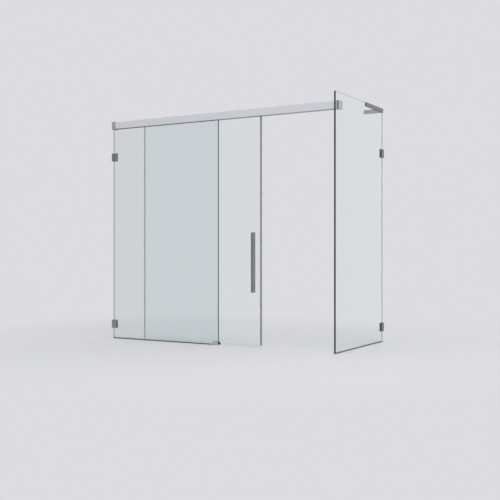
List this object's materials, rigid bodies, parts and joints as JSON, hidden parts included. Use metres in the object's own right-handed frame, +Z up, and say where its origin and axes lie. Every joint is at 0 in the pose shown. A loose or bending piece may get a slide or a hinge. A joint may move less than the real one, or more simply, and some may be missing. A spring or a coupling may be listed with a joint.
{
  "type": "sliding bath screen",
  "caption": "Glass bath screen with a fixed pane, a door that slides on rollers in a top rail, and a return pane clipped to the walls.",
  "frame": {"origin": "middle of the footprint, on top of the bath rim", "axes": "+X from the left wall along the bath to the return pane, +Y from the bather's side to the back wall, +Z up"},
  "size_m": [1.58, 0.7, 1.426],
  "materials": {
    "rail_aluminium": "satin anodised extrusion",
    "satin_metal": "fine satin",
    "cast_alloy": "fine cast, lightly blasted",
    "clear_glass": "clear toughened float glass with ground edges",
    "gasket_rubber": "matt grey rubber",
    "seal_plastic": "translucent soft plastic",
    "nylon": "smooth moulded nylon",
    "dark_nylon": "smooth moulded nylon",
    "screw_steel": "stainless, machined",
    "bearing_steel": "ground steel"
  },
  "bodies": {
    "frame": {"top_rail": "rail_aluminium", "rail_wall_bracket": "satin_metal", "corner_plate": "satin_metal", "stabiliser_bar": "satin_metal", "fixed_lower_clip": "satin_metal", "fixed_upper_clip": "satin_metal", "return_lower_clip": "satin_metal", "return_upper_clip": "satin_metal", "fixed_lower_cheek": "satin_metal", "fixed_upper_cheek": "satin_metal", "return_lower_cheek": "satin_metal", "return_upper_cheek": "satin_metal", "rail_end_block": "cast_alloy", "guide_body": "cast_alloy", "left_stop": "cast_alloy", "right_stop": "cast_alloy", "fixed_glass": "clear_glass", "return_glass": "clear_glass", "corner_gaskets": "gasket_rubber", "rail_gaskets": "gasket_rubber", "stabiliser_liner": "gasket_rubber", "clip_gaskets": "gasket_rubber", "guide_liner": "gasket_rubber", "stop_buffers": "gasket_rubber", "fixed_bottom_seal": "seal_plastic", "return_bottom_seal": "seal_plastic", "guide_pads": "dark_nylon", "glass_bushes": "nylon", "rail_lock_screws": "screw_steel", "corner_bolts": "screw_steel", "stabiliser_grub_screws": "screw_steel", "clip_screws": "screw_steel", "guide_grub_screws": "screw_steel", "stop_screws": "screw_steel"},
    "door": {"door_glass": "clear_glass", "left_carriage": "cast_alloy", "right_carriage": "cast_alloy", "carriage_axles": "screw_steel", "hanger_bolts": "screw_steel", "hanger_nuts": "screw_steel", "left_glass_clamp": "cast_alloy", "right_glass_clamp": "cast_alloy", "clamp_liners": "gasket_rubber", "clamp_grub_screws": "screw_steel", "anti_lift_pads": "nylon", "handle_outer_bar": "satin_metal", "handle_inner_bar": "satin_metal", "handle_gaskets": "gasket_rubber", "handle_studs": "screw_steel", "handle_bushes": "nylon", "leading_seal": "seal_plastic", "trailing_seal": "seal_plastic"},
    "left_wheelset_a": {"left_wheels_a": "nylon", "left_bearings_a": "bearing_steel"},
    "left_wheelset_b": {"left_wheels_b": "nylon", "left_bearings_b": "bearing_steel"},
    "right_wheelset_a": {"right_wheels_a": "nylon", "right_bearings_a": "bearing_steel"},
    "right_wheelset_b": {"right_wheels_b": "nylon", "right_bearings_b": "bearing_steel"}
  },
  "joints": [
    {"name": "door_slide", "type": "slide", "parent": "frame", "child": "door", "axis": [1, 0, 0], "range_m": [-0.19, 0.476]},
    {"name": "left_wheel_spin_a", "type": "hinge", "parent": "door", "child": "left_wheelset_a", "pos_m": [-0.481, -0.2954, 1.366], "axis": [0, 1, 0], "range_deg": [-1760, 4405]},
    {"name": "left_wheel_spin_b", "type": "hinge", "parent": "door", "child": "left_wheelset_b", "pos_m": [-0.449, -0.2954, 1.366], "axis": [0, 1, 0], "range_deg": [-1760, 4405]},
    {"name": "right_wheel_spin_a", "type": "hinge", "parent": "door", "child": "right_wheelset_a", "pos_m": [0.189, -0.2954, 1.366], "axis": [0, 1, 0], "range_deg": [-1760, 4405]},
    {"name": "right_wheel_spin_b", "type": "hinge", "parent": "door", "child": "right_wheelset_b", "pos_m": [0.221, -0.2954, 1.366], "axis": [0, 1, 0], "range_deg": [-1760, 4405]}
  ],
  "couplings": [
    {"joint": "left_wheel_spin_a", "follows": "door_slide", "rad_per_m": 161.29},
    {"joint": "left_wheel_spin_b", "follows": "door_slide", "rad_per_m": 161.29},
    {"joint": "right_wheel_spin_a", "follows": "door_slide", "rad_per_m": 161.29},
    {"joint": "right_wheel_spin_b", "follows": "door_slide", "rad_per_m": 161.29}
  ]
}
